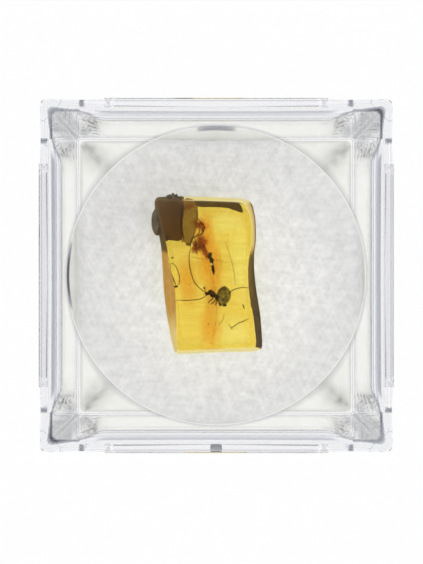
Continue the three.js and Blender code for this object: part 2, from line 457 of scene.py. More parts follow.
ACRYLIC_IOR = 1.49
acrylic = clear_material(
    "clear_acrylic",
    ior=ACRYLIC_IOR,
    tint=(0.7, 0.76, 0.95, 1),
    density=4.0,
    roughness=0.0,
    spread=0.02,
    bump=0.0005,
    # Dark-mark colours: white up to 0.3, then grey to near black, for the painted shade of rim lines,
    # groove, dots and lens slivers.
    shade_and_wear_colours=[(0.3, (1, 1, 1, 1)), (0.5, (0.34, 0.35, 0.42, 1)), (1.0, (0.01, 0.01, 0.014, 1))],
    rough=0.12,
)
tray.data.materials.append(acrylic)
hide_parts("tray")
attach(tray, "tray_body")

# ==== Lens lid: clear acrylic plate, four tabs and a lens, moulded in one ====
# The lens bulges above and below the plate. A tab hangs from the middle of each side into the
# tray's recess; the front one keeps the sheared stub of the moulding gate on its tip.
lid_low, lid_high = (np.array(corner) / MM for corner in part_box("lens_lid"))
PLATE = 1.8
plate_top = rim + PLATE
TAB_HALF = 12.0
STUB_HEIGHT = 0.45
TAB_DROP = rim - lid_low[2] - STUB_HEIGHT  # plate underside to tab tip; the gate stub reaches lower
TAB_CORNER = 1.0
TAB_CLEARANCE = 0.15
tab_out = lid_high[0]
tab_in = post - RECESS_DEPTH + TAB_CLEARANCE
LENS_HALF = inner - 1.75
GROOVE = LENS_HALF + 0.12  # the fine groove where the lens meets the plate
sagitta = lid_high[2] - plate_top
curve = (LENS_HALF**2 + sagitta**2) / (2 * sagitta)  # radius of both lens faces

fine = np.arange(0, 18.01, 0.5)
tab_end = [11.2, 11.6, 11.8, 11.92, 11.98, 12.03]
fine = np.sort(np.concatenate([fine[np.abs(fine - TAB_HALF) > 0.2], tab_end]))
lid_along = np.concatenate([-fine[:0:-1], fine])
reach = np.abs(lid_along)
tab = 1 - ramp(reach, 11.99, 12.02)
past = np.clip(reach - (TAB_HALF - TAB_CORNER), 0, TAB_CORNER)
drop = (TAB_DROP - TAB_CORNER + np.sqrt(TAB_CORNER**2 - past**2)) * tab

edge = square_ring(post - 0.32, 0.35, plate_top, lid_along)
angles = np.arctan2(edge[:, 1], edge[:, 0])


def circle(radius, z):
    """Ring of the given radius whose points lie in the same directions as the lid's square rings."""
    return np.column_stack([radius * np.cos(angles), radius * np.sin(angles), np.full(len(angles), z)])


def dome(radius):
    """Height of a lens face above its rim at a distance from the axis: a shallow sphere."""
    return math.sqrt(curve**2 - radius**2) - (curve - sagitta)


spokes = LENS_HALF * np.sin(np.linspace(0.02, np.pi / 2, 44))
rows = [circle(r, plate_top + dome(r)) for r in spokes]
rows += [circle(GROOVE, plate_top)]
rows += [circle(GROOVE, plate_top) * (1 - s) + edge * s for s in (0.3, 0.65, 1.0)]
rows += [
    square_ring(post - 0.08, 0.45, plate_top - 0.08, lid_along),
    square_ring(post, 0.5, plate_top - 0.3, lid_along, -(tab_out - post) * tab),
    square_ring(post, 0.5, rim + 0.2 - drop, lid_along, -(tab_out - post) * tab),
    square_ring(post - 0.1, 0.5, rim - drop, lid_along, -(tab_out - post) * tab),
    square_ring(tab_in + 0.3, 0.45, rim - drop, lid_along),
    square_ring(tab_in, 0.42, rim - drop + 0.3 * tab, lid_along),
    square_ring(tab_in, 0.42, rim - 0.6 * tab, lid_along),
    square_ring(tab_in - 0.12, 0.4, rim, lid_along),
]
under = square_ring(tab_in - 0.3, 0.4, rim, lid_along)
rows += [under * (1 - s) + circle(GROOVE, rim) * s for s in (0.0, 0.4, 0.7, 1.0)]
rows += [circle(r, rim - dome(r)) for r in spokes[::-1]]

# Dark marks, by the dark-mark attribute: tabs roughened by rubbing, the left and right ones a little grey;
# painted shade as a line in the groove round the lens and as dots under the plate beside the corner posts,
# where the recesses end; and two slivers on the lens's rim that stand in for dark refraction there.
groove_row = len(spokes)
tab_rows = slice(groove_row + 5, groove_row + 11)
under_rows = slice(groove_row + 7, groove_row + 11)
SHADE_DOT_AT = 14.5  # from the middle of a side
SHADE_DOT_SPREAD = 0.3
NO_SHADE_DOT = 20.0  # distance given to the corner points, far from any painted shade dot
worn = np.zeros(np.asarray(rows).shape[:2])
hanging = np.concatenate([tab[::-1], np.zeros(CORNER_STEPS)])
worn[tab_rows] = np.concatenate([hanging * s for s in (0.3, 0.37, 0.3, 0.37)])  # far, left, near, right
from_middle = np.tile(np.concatenate([lid_along[::-1], np.full(CORNER_STEPS, NO_SHADE_DOT)]), 4)
# Painted shadow: dark dots under the plate beside the corner posts, at the ends of the recesses.
worn[under_rows] += 0.85 * np.exp(-(((np.abs(from_middle) - SHADE_DOT_AT) / SHADE_DOT_SPREAD) ** 2))
# Painted shade: a dark line in the groove round the lens.
worn[groove_row] = 0.45
bearing = np.degrees(angles) % 360
# Painted shade: two dark slivers on the lens's rim, far and left, standing in for dark refraction.
for toward, spread, start, strong in ((90, 8.5, 15.35, 0.72), (180, 13.0, 15.6, 1.0)):  # far, left
    dark_sliver = np.exp(-(((bearing - toward) / spread) ** 4))
    worn[:groove_row] += strong * ramp(spokes, start, start + 0.15)[:, None] * dark_sliver
lid = skin("lens_lid_shell", rows[::-1], worn=[worn[::-1]])
lid.data.materials.append(acrylic)
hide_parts("lens_lid")
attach(lid, "lid_body")

# Gate stub: where the sprue was broken off the front tab, rough and a little milky.
# Each ring is a squarish oval: the cosine and sine of the turn, each to the power of a half.
STUB_HALF = 0.65
STUB_DEPTH = 0.27
stub_rows = []
for z, half in ((0.0, 0.45), (0.06, 0.62), (0.4, STUB_HALF), (0.46, 0.6)):
    turn = np.linspace(0, 2 * np.pi, 40, endpoint=False)
    across = half * np.sign(np.cos(turn)) * np.abs(np.cos(turn)) ** 0.5
    depth = STUB_DEPTH * half / STUB_HALF * np.sign(np.sin(turn)) * np.abs(np.sin(turn)) ** 0.5
    rough = 0.03 * np.sin(turn * 7 + z * 20) * (z < 0.3)
    stub_rows.append(
        np.column_stack([across, depth - (tab_out + tab_in) / 2 - 0.1, lid_low[2] + z + rough])
    )
stub = skin("gate_stub", stub_rows)
milky = clear_material(
    "sheared_acrylic",
    ior=ACRYLIC_IOR,
    tint=(0.4, 0.45, 0.5, 1),
    density=900.0,
    roughness=0.35,
    spread=0.2,
    bump=0.6,
    scale=2500.0,
    plain=(0.5, 0.5, 0.52, 1),
)
stub.data.materials.append(milky)
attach(stub, "lid_body")

# ==== Floor liner: a sheet of off-white wadding cut to the tray ====
# Loose bonded fibre, matt, pushed into the corners so that it creases along the diagonals.


def waves(x, y, seed, size, count=14):
    """Smooth unevenness between about -1 and 1: a seeded sum of sine waves of the given length."""
    rng = np.random.default_rng(seed)
    total = np.zeros_like(x)
    for _ in range(count):
        angle = rng.uniform(0, np.pi)
        pitch = 2 * np.pi / (size * rng.uniform(0.6, 1.8))
        total += np.sin(pitch * (x * np.cos(angle) + y * np.sin(angle)) + rng.uniform(0, 2 * np.pi))
    return total / math.sqrt(count)


def soft_slab(name, node, radius, roll, uneven, seed, crease=0.0, dim=0.0):
    """Soft square slab in a node's box, closed: flat below, rolled edge, a top that waves by uneven mm.

    A fold runs in along each diagonal from the corner, a bell across it, about 0.6 of the fold depth given,
    in mm, deep.
    The slab's shade mark, painted shade, follows the fold and the edge of a slab with a fold; dim adds
    painted shade outwards.
    """
    start, end = (np.array(corner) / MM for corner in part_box(node))
    low, high, half = start[2], end[2], (end[0] - start[0]) / 2
    along = np.linspace(-1, 1, 60) * (half - radius - roll - 0.05)
    full = square_ring(half, radius, 0, along, corner=14)
    low = low + 0.02
    steps = np.linspace(0, np.pi / 2, 6)
    rows = [full * [s, s, 0] + [0, 0, low] for s in (0.02, 0.35, 0.7, (half - 0.3 * roll) / half)]
    rows += [full * [1, 1, 0] + [0, 0, low + (high - low) * 0.35]]
    for a in steps:
        s = (half - roll * (1 - math.cos(a))) / half
        rows.append(full * [s, s, 0] + [0, 0, high - min(roll, 0.6 * (high - low)) * (1 - math.sin(a))])
    inwards = (half - roll) / half * np.linspace(1, 0, 46)[1:-1]
    rows += [full * [s, s, 0] + [0, 0, high] for s in inwards]
    rows += [full * [0.01, 0.01, 0] + [0, 0, high]]
    rows = np.array(rows)
    x, y = rows[..., 0], rows[..., 1]
    lift = ramp(rows[..., 2], low, high) * uneven
    rows[..., 2] -= lift * (0.5 + 0.5 * np.clip(waves(x, y, seed, 3.0), -1, 1))
    rows[..., 2] -= lift * 0.4 * (0.5 + 0.5 * np.clip(waves(x, y, seed + 1, 0.8), -1, 1))
    off = np.abs(np.abs(x) - np.abs(y)) / math.sqrt(2)
    reach = np.minimum(np.abs(x), np.abs(y))
    near = ramp(reach, half - 5.5, half - 1.0) * (1 - 0.6 * ramp(reach, half - 0.8, half - 0.4))
    across = off / (0.35 + 0.35 * (half - reach))
    fold = near * np.exp(-(across**2)) * (0.62 + 0.15 * waves(x, y, seed + 2, 1.1))
    rows[..., 2] -= crease * fold * ramp(rows[..., 2], low, high)
    edge = ramp(np.maximum(np.abs(x), np.abs(y)), half - 0.45, half - 0.1)
    marks = np.maximum(fold, 0.25 * edge) * (crease > 0) + dim * ramp(np.hypot(x, y), 5.0, half)
    rows[..., :2] += (start[:2] + end[:2]) / 2
    return skin(name, rows, smooth=180, crease=[marks])


# The liner's fold depth also switches on painted shade in its folds and along its edge.
liner = soft_slab("wadding_liner", "floor_liner", 0.6, 0.5, 0.16, 11, 0.25)

# Fibre mottle: drawn-out cloudiness and fine crossing strands, for wadding and pad.
mottle, given, result = group_start(
    "fibre_mottle",
    {"Cloud Scale": 500.0, "Strand Scale": 2600.0, "Contrast": 0.5},
    [("Shade", "NodeSocketFloat"), ("Height", "NodeSocketFloat")],
)
place = add_node(mottle, "ShaderNodeTexCoord")
cloud = add_node(
    mottle,
    "ShaderNodeTexNoise",
    [("Vector", place.outputs["Object"]), ("Scale", given.outputs["Cloud Scale"])],
    Detail=4.0,
    Roughness=0.65,
)
strands = None
for turn in (0.4, 1.5, 2.6):
    lay = add_node(
        mottle,
        "ShaderNodeMapping",
        [("Vector", place.outputs["Object"])],
        vector_type="TEXTURE",
        Rotation=(0, 0, turn),
        Scale=(1.0, 10.0, 1.0),
    )
    strand = add_node(
        mottle,
        "ShaderNodeTexNoise",
        [("Vector", lay.outputs[0]), ("Scale", given.outputs["Strand Scale"])],
        Detail=2.0,
        Distortion=0.6,
    )
    if strands is None:
        strands = strand.outputs["Fac"]
    else:
        strands = add_node(
            mottle, "ShaderNodeMath", [(0, strands), (1, strand.outputs["Fac"])], operation="ADD"
        ).outputs[0]
blend = add_node(
    mottle, "ShaderNodeMath", [(0, strands), (2, cloud.outputs["Fac"])], operation="MULTIPLY_ADD"
)
blend.inputs[1].default_value = 0.45
centre = add_node(mottle, "ShaderNodeMath", [(0, blend.outputs[0])], operation="SUBTRACT")
centre.inputs[1].default_value = 1.17
shade = add_node(
    mottle,
    "ShaderNodeMath",
    [(0, centre.outputs[0]), (1, given.outputs["Contrast"])],
    operation="MULTIPLY_ADD",
)
shade.inputs[2].default_value = 0.5
mottle.links.new(result.inputs["Shade"], shade.outputs[0])
mottle.links.new(result.inputs["Height"], blend.outputs[0])


def fibre_material(name, dark, light, cloud_scale, strand_scale, contrast, bump):
    """Matt fibre: mottled between two colours, with a slight fuzz sheen and strand relief."""
    look = bpy.data.materials.new(name)
    look.use_nodes = True
    tree = look.node_tree
    body = tree.nodes["Principled BSDF"]
    pattern = add_node(tree, "ShaderNodeGroup", node_tree=mottle)
    pattern.inputs["Cloud Scale"].default_value = cloud_scale
    pattern.inputs["Strand Scale"].default_value = strand_scale
    pattern.inputs["Contrast"].default_value = contrast
    mix = add_node(tree, "ShaderNodeValToRGB", [(0, pattern.outputs["Shade"])])
    mix.color_ramp.elements[0].color = dark
    mix.color_ramp.elements[1].color = light
    # Painted shade: the slab's shade mark turns the fibre towards dark grey in the folds, at a folded
    # slab's edge and outwards on a dimmed slab.
    creased = add_node(tree, "ShaderNodeAttribute", attribute_name="crease")
    deep = add_node(
        tree, "ShaderNodeMix", [(0, creased.outputs["Fac"]), (6, mix.outputs[0])], data_type="RGBA"
    )
    deep.inputs[7].default_value = (0.3, 0.3, 0.29, 1)
    relief = add_node(
        tree, "ShaderNodeBump", [("Height", pattern.outputs["Height"])], Strength=bump, Distance=0.1 * MM
    )
    tree.links.new(body.inputs["Base Color"], deep.outputs[2])
    tree.links.new(body.inputs["Normal"], relief.outputs[0])
    body.inputs["Roughness"].default_value = 0.95
    body.inputs["Specular IOR Level"].default_value = 0.2
    body.inputs["Sheen Weight"].default_value = 0.15
    return look


wadding = fibre_material(
    "wadding", (0.84, 0.84, 0.77, 1), (0.98, 0.98, 0.95, 1), 420.0, 1500.0, 0.8, 0.5
)
liner.data.materials.append(wadding)
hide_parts("floor_liner")
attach(liner, "tray_body")

# ==== Fibre pad: a square of denser pale pad that the specimen lies on ====
# Pressed fibre, light grey, with a rolled cut edge and a fine crossing mottle of strands on its face.
# dim paints shade on the pad, darker outwards towards its edge.
pad = soft_slab("pad_core", "fibre_pad", 1.2, 0.5, 0.12, 23, dim=0.22)
pad_look = fibre_material(
    "pad_fibre", (0.74, 0.735, 0.725, 1), (0.99, 0.985, 0.97, 1), 1500.0, 4000.0, 1.6, 0.7
)
pad.data.materials.append(pad_look)
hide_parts("fibre_pad")
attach(pad, "tray_body")

# ==== Amber specimen: a hand-cut slab of clear yellow amber, polished, lying loose on the pad ====
# Its left side slopes out to the base, its right side is waisted, and its edges have thin bevels.
# Outline in mm from the box's axis, clockwise from the far left corner: base x, y, then face x, y.
amber_low, amber_high = (np.array(corner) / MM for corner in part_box("amber_specimen"))
base = amber_low[2] + 0.02
face = amber_high[2]
AMBER_OUTLINE = [
    (-4.75, 6.20, -4.98, 6.38), (-4.15, 6.38, -4.29, 6.51), (-1.33, 6.42, -1.38, 6.50),
    (1.55, 6.31, 1.52, 6.40), (2.37, 6.21, 2.29, 6.28), (2.85, 5.93, 2.65, 5.98),
    (3.08, 5.31, 2.95, 5.34), (3.22, 4.40, 3.12, 4.49), (3.25, 2.92, 3.16, 3.03),
    (3.13, 1.93, 2.96, 2.01), (3.12, 0.78, 2.82, 0.73), (3.21, -0.37, 2.84, -0.56),
    (3.36, -1.52, 2.97, -1.92), (3.60, -3.09, 3.24, -3.38), (3.72, -4.75, 3.42, -5.00),
    (3.73, -5.50, 3.47, -5.75), (3.56, -5.88, 3.32, -6.10), (2.74, -6.03, 2.60, -6.20),
    (-0.10, -6.12, -0.10, -6.29), (-2.57, -6.22, -2.58, -6.42), (-3.12, -6.16, -3.18, -6.34),
    (-3.32, -5.85, -3.32, -6.01), (-3.60, -4.80, -3.37, -4.91), (-3.95, -2.92, -3.42, -3.03),
    (-4.18, -0.95, -3.55, -1.24), (-4.30, 1.11, -4.03, 0.98), (-4.40, 2.51, -4.20, 2.44),
    (-4.66, 3.99, -4.60, 4.15), (-4.84, 5.56, -4.96, 5.77),
]


def spline(points, per=8, closed=False):
    """Smooth curve through points: on each span, the cubic whose end slopes are half the step
    between the points on either side (Catmull-Rom)."""
    p = np.asarray(points, dtype=float)
    if closed:
        p = np.concatenate([p[-1:], p, p[:2]])
    else:
        p = np.concatenate([2 * p[:1] - p[1:2], p, 2 * p[-1:] - p[-2:-1]])
    t = np.linspace(0, 1, per, endpoint=False)[None, :, None]
    a, b, c, d = (p[k : len(p) - 3 + k][:, None] for k in range(4))
    square = a - 2.5 * b + 2 * c - d / 2
    cube = 1.5 * b - a / 2 - 1.5 * c + d / 2
    curve = b + (c - a) * t / 2 + square * t**2 + cube * t**3
    curve = curve.reshape(-1, p.shape[1])
    return curve if closed else np.concatenate([curve, p[-2:-1]])


outline = spline(AMBER_OUTLINE[::-1], closed=True)


def amber_ring(z, blend, inset=0.0, size=1.0):
    """Outline at height z: base outline blended to the face's, moved in by inset, then scaled."""
    ring = outline[:, :2] * (1 - blend) + outline[:, 2:] * blend
    middle = (ring.min(axis=0) + ring.max(axis=0)) / 2
    half = np.ptp(ring, axis=0) / 2
    return np.column_stack([middle + (ring - middle) * (1 - inset / half) * size, np.full(len(ring), z)])


side_levels = [(0.3, 0), (0.9, 0), (1.8, 0.25), (2.8, 0.55), (3.8, 0.85), (4.15, 0.97)]  # height, blend
rows = [amber_ring(base, 0, 0.35, size) for size in (0.02, 0.4, 0.8, 1)]
rows += [amber_ring(base + 0.08, 0, 0.12)]
rows += [amber_ring(base + height, blend) for height, blend in side_levels]
rows += [amber_ring(face - down, 1, inset) for down, inset in ((0.12, 0.02), (0.03, 0.06), (0, 0.13))]
rows += [amber_ring(face, 1, 0.13, size) for size in (0.97, 0.8, 0.5, 0.25, 0.02)]
amber = skin("amber_body", rows)
amber_look = clear_material(
    "amber",
    ior=1.54,
    tint=(0.995, 0.9, 0.1, 1),
    density=60.0,
    roughness=0.0,
    spread=0.02,
    bump=0.08,
    scale=700.0,
    plain=(0.97, 0.735, 0.1, 1),
)
amber.data.materials.append(amber_look)
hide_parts("amber_specimen")
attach(amber, "specimen_body")

# Side walls: a thin brown sheet on the slab's sides, dark on the right, fading to clear yellow near and
# far, painted reflection and shade for what the walls show by refraction and internal reflection. It lies
# on the polished wall and stops short of the bevels.
ahead = np.roll(outline, -1, axis=0) - np.roll(outline, 1, axis=0)
across = np.column_stack([ahead[:, 1], -ahead[:, 0]]) / np.linalg.norm(ahead[:, :2], axis=1)[:, None]
levels = side_levels + [(face - base - 0.15, 1)]


def side_rings(off):
    """Rings of the side wall, from low to high, standing out from it by off."""
    rings = np.array([amber_ring(base + height, blend) for height, blend in levels])
    rings[..., :2] += across * off
    return rings


side_wall_rows = np.concatenate([side_rings(0.04), side_rings(0.015)[::-1]])
x = np.broadcast_to(outline[:, 0], side_wall_rows.shape[:2])
y = np.broadcast_to(outline[:, 1], side_wall_rows.shape[:2])
right = ramp(across[:, 0], 0.5, 0.9)
left = ramp(-across[:, 0], 0.5, 0.9)
height = ramp(side_wall_rows[..., 2], base, face)
pale = ramp(y, 1.4, 2.6) * ramp(height, 0.05, 0.25)  # the far right is barely darkened
far_left = ramp(y, 1.9, 2.4) * ramp(-x, 2.5, 2.9)
tone = 1.0 - right * (0.95 - 0.3 * height * ramp(y, -4.0, 1.0)) * (1 - 0.75 * pale)
tone = tone - left * (0.4 - 0.25 * ramp(-y, 2.5, 5.0))
tone -= np.clip(far_left * (1 - right), 0, 1) * (tone - 0.15)
cover = 0.55 + 0.4 * right * (1 - pale) + 0.25 * left + 0.35 * far_left
side_wall_reflection = skin("side_wall_reflection", side_wall_rows, closed=True, tone=[tone], fade=[np.clip(cover, 0, 0.95)])

# ==== Inside the amber: sheets of painted reflection, red stains, an orange vein, plant hairs, flakes and a gnat ====
# Stains, vein, hairs, flakes, bubble and gnat were trapped when the resin set. Reflection sheets and stains
# are thin sheets, the stains along old flow planes; hairs, legs and cracks are fine tubes; the gnat is a
# chain of beads, its soft abdomen paler than the rest.
speckle, given, result = group_start(
    "speckle", {"Scale": 3000.0, "Contrast": 1.0, "Draw": 1.0}, [("Shade", "NodeSocketFloat")]
)
place = add_node(speckle, "ShaderNodeTexCoord")
drawn = add_node(speckle, "ShaderNodeCombineXYZ", [("X", given.outputs["Draw"])], Y=1.0, Z=1.0)
lay = add_node(
    speckle,
    "ShaderNodeVectorMath",
    [(0, place.outputs["Object"]), (1, drawn.outputs[0])],
    operation="MULTIPLY",
)
dots = add_node(
    speckle,
    "ShaderNodeTexNoise",
    [("Vector", lay.outputs[0]), ("Scale", given.outputs["Scale"])],
    Detail=4.0,
    Roughness=0.6,
)
centre = add_node(speckle, "ShaderNodeMath", [(0, dots.outputs["Fac"])], operation="SUBTRACT")
centre.inputs[1].default_value = 0.5
shade = add_node(
    speckle,
    "ShaderNodeMath",
    [(0, centre.outputs[0]), (1, given.outputs["Contrast"])],
    operation="MULTIPLY_ADD",
    use_clamp=True,
)
shade.inputs[2].default_value = 0.5
speckle.links.new(result.inputs["Shade"], shade.outputs[0])


def speckled_material(name, dark, light, scale, contrast, roughness, alpha=1.0, draw=1.0, toned=False):
    """Matter in the amber: speckled between two colours; sheets fade by their attribute fade.

    A draw under 1 pulls the speckle out along X. A toned one goes from dark to light by its
    attribute tone, and the speckle only unsettles it.
    """
    look = bpy.data.materials.new(name)
    look.use_nodes = True
    tree = look.node_tree
    body = tree.nodes["Principled BSDF"]
    pattern = add_node(tree, "ShaderNodeGroup", node_tree=speckle)
    pattern.inputs["Scale"].default_value = scale
    pattern.inputs["Contrast"].default_value = contrast
    pattern.inputs["Draw"].default_value = draw
    mix = add_node(tree, "ShaderNodeValToRGB", [(0, pattern.outputs["Shade"])])
    mix.color_ramp.elements[0].color = dark
    mix.color_ramp.elements[1].color = light
    if toned:
        tone = add_node(tree, "ShaderNodeAttribute", attribute_name="tone")
        shift = add_node(
            tree,
            "ShaderNodeMath",
            [(0, tone.outputs["Fac"]), (1, pattern.outputs["Shade"])],
            operation="ADD",
        )
        level = add_node(tree, "ShaderNodeMath", [(0, shift.outputs[0])], operation="SUBTRACT")
        level.inputs[1].default_value = 0.5
        tree.links.new(mix.inputs[0], level.outputs[0])
    tree.links.new(body.inputs["Base Color"], mix.outputs[0])
    body.inputs["Roughness"].default_value = roughness
    body.inputs["Specular IOR Level"].default_value = 0.15
    if alpha < 1:
        fade = add_node(tree, "ShaderNodeAttribute", attribute_name="fade")
        uneven = add_node(
            tree,
            "ShaderNodeMath",
            [(0, pattern.outputs["Shade"])],
            operation="MULTIPLY_ADD",
        )
        uneven.inputs[1].default_value = 0.4 * alpha
        uneven.inputs[2].default_value = 0.8 * alpha
        thin = add_node(
            tree,
            "ShaderNodeMath",
            [(0, fade.outputs["Fac"]), (1, uneven.outputs[0])],
            operation="MULTIPLY",
            use_clamp=True,
        )
        tree.links.new(body.inputs["Alpha"], thin.outputs[0])
        through = add_node(tree, "ShaderNodeBsdfTransparent")
        pick = add_node(
            tree,
            "ShaderNodeMixShader",
            [
                (0, seen_white(tree, ["Is Shadow Ray", "Is Diffuse Ray"])),
                (1, body.outputs[0]),
                (2, through.outputs[0]),
            ],
        )
        tree.links.new(tree.nodes["Material Output"].inputs["Surface"], pick.outputs[0])
    return look


def trapped(piece, look):
    """Give a piece inside the amber its material and let it move with the specimen."""
    piece.data.materials.append(look)
    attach(piece, "specimen_body")
    return piece


def tube(points, radius, z, sides=6, per=8, taper=0.5):
    """Rings of a round tube at height z along the smooth curve through points (x, y), thinner at its
    ends by taper; each ring lies across the curve."""
    path = spline(np.column_stack([points, np.full(len(points), z)]), per)
    way = np.gradient(path, axis=0)
    way /= np.linalg.norm(way, axis=1, keepdims=True)
    across = np.cross([0, 0, 1.0], way)
    across /= np.linalg.norm(across, axis=1, keepdims=True)
    up = np.cross(way, across)
    t = np.linspace(0, 1, len(path))
    thick = radius * (1 - taper * np.abs(2 * t - 1) ** 3)
    turn = np.linspace(0, 2 * np.pi, sides, endpoint=False)
    ring = np.cos(turn)[None, :, None] * across[:, None] + np.sin(turn)[None, :, None] * up[:, None]
    return path[:, None] + ring * thick[:, None, None]


def bead(x, y, z, long, wide, high, turn=0.0, lumps=0.0, seed=0, sides=20, rings=12):
    """Rings of an ellipsoid, its long axis turned in plan, its radius waved by lumps."""
    lat = np.linspace(-0.48 * np.pi, 0.48 * np.pi, rings)[:, None]
    lon = np.linspace(0, 2 * np.pi, sides, endpoint=False)[None]
    wave = 1 + lumps * waves(lon * 2 + 0 * lat, lat * 2 + 0 * lon, seed, 3.0)
    u = long * np.cos(lat) * np.cos(lon) * wave
    v = wide * np.cos(lat) * np.sin(lon) * wave
    w = high * np.sin(lat) * wave
    c, s = math.cos(turn), math.sin(turn)
    return np.stack([x + u * c - v * s, y + u * s + v * c, z + w], axis=2)


def patch(points, z, thick=0.05, per=3):
    """Rings of a flat sheet with the smooth outline through points, counterclockwise."""
    edge = spline(points, per, closed=True)
    area = np.sum(edge[:, 0] * np.roll(edge[:, 1], -1) - edge[:, 1] * np.roll(edge[:, 0], -1))
    edge = edge if area > 0 else edge[::-1]
    middle = edge.mean(axis=0)
    rows = [(0.05, z), (0.6, z), (1, z), (1, z + thick), (0.6, z + thick), (0.05, z + thick)]
    rings = [np.column_stack([middle + (edge - middle) * s, np.full(len(edge), h)]) for s, h in rows]
    return np.stack(rings)


def blot(x, y, z, long, wide, turn=0.0, ragged=0.15, seed=0, sides=40, rings=14):
    """Rings of a thin lens-shaped blot and their fade, which falls from 1 in the middle to 0 at its
    ragged edge as one minus the square of the distance, to the power 1.5."""
    out = np.linspace(0.04, 1, rings)
    lon = np.linspace(0, 2 * np.pi, sides, endpoint=False)
    edge = 1 + ragged * waves(np.cos(lon) * 2, np.sin(lon) * 2, seed, 2.5)
    reach = np.concatenate([out, out[::-1]])[:, None]
    lift = np.concatenate([-1 + out**2, 1 - out[::-1] ** 2])[:, None]
    u = long * reach * np.cos(lon)[None] * edge
    v = wide * reach * np.sin(lon)[None] * edge
    c, s = math.cos(turn), math.sin(turn)
    place = np.stack([x + u * c - v * s, y + u * s + v * c, z + 0.03 * lift + 0 * u], axis=2)
    return place, (1 - reach**2) ** 1.5 + 0 * u


def trapped_blots(name, placed, look):
    """One piece inside the amber from several blots, each a pair of rings and fade."""
    rings, fades = zip(*placed)
    return trapped(skin(name, *rings, fade=fades), look)


# Painted reflection and shade on the side walls: the attribute tone runs from dark olive-brown through
# brown and pinkish brown to pale yellow.
side_look = speckled_material(
    "side_wall_reflection",
    (0.08, 0.055, 0.028, 1),
    (0.98, 0.84, 0.34, 1),
    1500.0,
    0.25,
    0.6,
    alpha=0.95,
    toned=True,
)
side_look.node_tree.nodes["Principled BSDF"].inputs["Specular IOR Level"].default_value = 0
tones = side_look.node_tree.nodes["Color Ramp"].color_ramp
tones.elements.new(0.35).color = (0.22, 0.14, 0.035, 1)
tones.elements.new(0.6).color = (0.6, 0.32, 0.07, 1)
trapped(side_wall_reflection, side_look)

# Painted reflection: dark brown sheets under the face at the far side, thinning to olive, and a dark strip,
# for the dark internal reflection of the side facets.
brown_reflection_sheet = [
    (-4.92, 6.38), (-2.81, 6.45), (-2.9, 4.41), (-2.95, 3.12),
    (-4.11, 3.12), (-4.24, 2.8), (-4.62, 4.22), (-4.98, 5.69),
]
trapped(
    skin("brown_reflection_sheet", patch(brown_reflection_sheet, face - 0.5)),
    speckled_material("brown_reflection_sheet", (0.055, 0.023, 0.004, 1), (0.12, 0.055, 0.01, 1), 900.0, 1.6, 0.6),
)
olive_reflection_sheet = [
    (-2.81, 6.44), (-1.62, 6.42), (-1.55, 5.84), (-1.53, 4.89),
    (-1.76, 3.75), (-2.24, 2.61), (-2.76, 2.99), (-2.95, 3.08),
]
film = patch(olive_reflection_sheet, face - 0.52)
trapped(
    skin("olive_reflection_sheet", film, fade=[np.ones(film.shape[:2])]),
    speckled_material(
        "olive_reflection_sheet", (0.12, 0.045, 0.0, 1), (0.2, 0.09, 0.002, 1), 700.0, 1.2, 0.6, alpha=0.6
    ),
)
dark_reflection_strip = [
    (-1.66, 6.5), (0.09, 6.42), (1.55, 6.34), (2.15, 6.1), (2.34, 5.5),
    (1.81, 5.62), (1.34, 5.85), (-0.01, 5.96), (-1.5, 6.0),
]
trapped(
    skin("dark_reflection_strip", patch(dark_reflection_strip, face - 0.4)),
    speckled_material("dark_reflection_strip", (0.05, 0.022, 0.002, 1), (0.13, 0.08, 0.006, 1), 800.0, 1.4, 0.5),
)

# Honey cloud: a faint even cloudiness low in the slab, with fine lines across it, drawn out along X, that
# paint the reflection of the ripples in the face's polish.
spread = np.array([0.02, 0.6, 0.85, 0.99])
cloud = [amber_ring(face - 3.0, 0.45, 0.3, size) for size in spread]
cloud += [amber_ring(face - 2.9, 0.45, 0.3, size) for size in spread[::-1]]
fade = np.concatenate([spread < 0.9, (spread < 0.9)[::-1]])[:, None] + np.zeros(len(outline))
trapped(
    skin("honey_cloud", cloud, fade=[fade]),
    speckled_material(
        "honey_cloud", (0.95, 0.78, 0.36, 1), (1.0, 0.9, 0.52, 1), 1500.0, 2.2, 0.9, alpha=0.5, draw=0.12
    ),
)
pale_spots = [
    blot(2.0, 1.5, face - 2.5, 0.95, 4.6, 0.06, 0.08, 14),
    blot(1.6, -4.6, face - 2.5, 1.6, 1.9, 0.0, 0.1, 15),
    blot(0.8, 4.6, face - 2.5, 1.4, 1.2, 0.0, 0.1, 16),
]
# The pale cloud's speckle is drawn out along X as well: painted reflection of the same ripples.
trapped_blots(
    "pale_cloud",
    pale_spots,
    speckled_material(
        "pale_cloud", (0.93, 0.9, 0.48, 1), (1.0, 0.98, 0.72, 1), 1600.0, 2.4, 0.9, alpha=0.6, draw=0.08
    ),
)

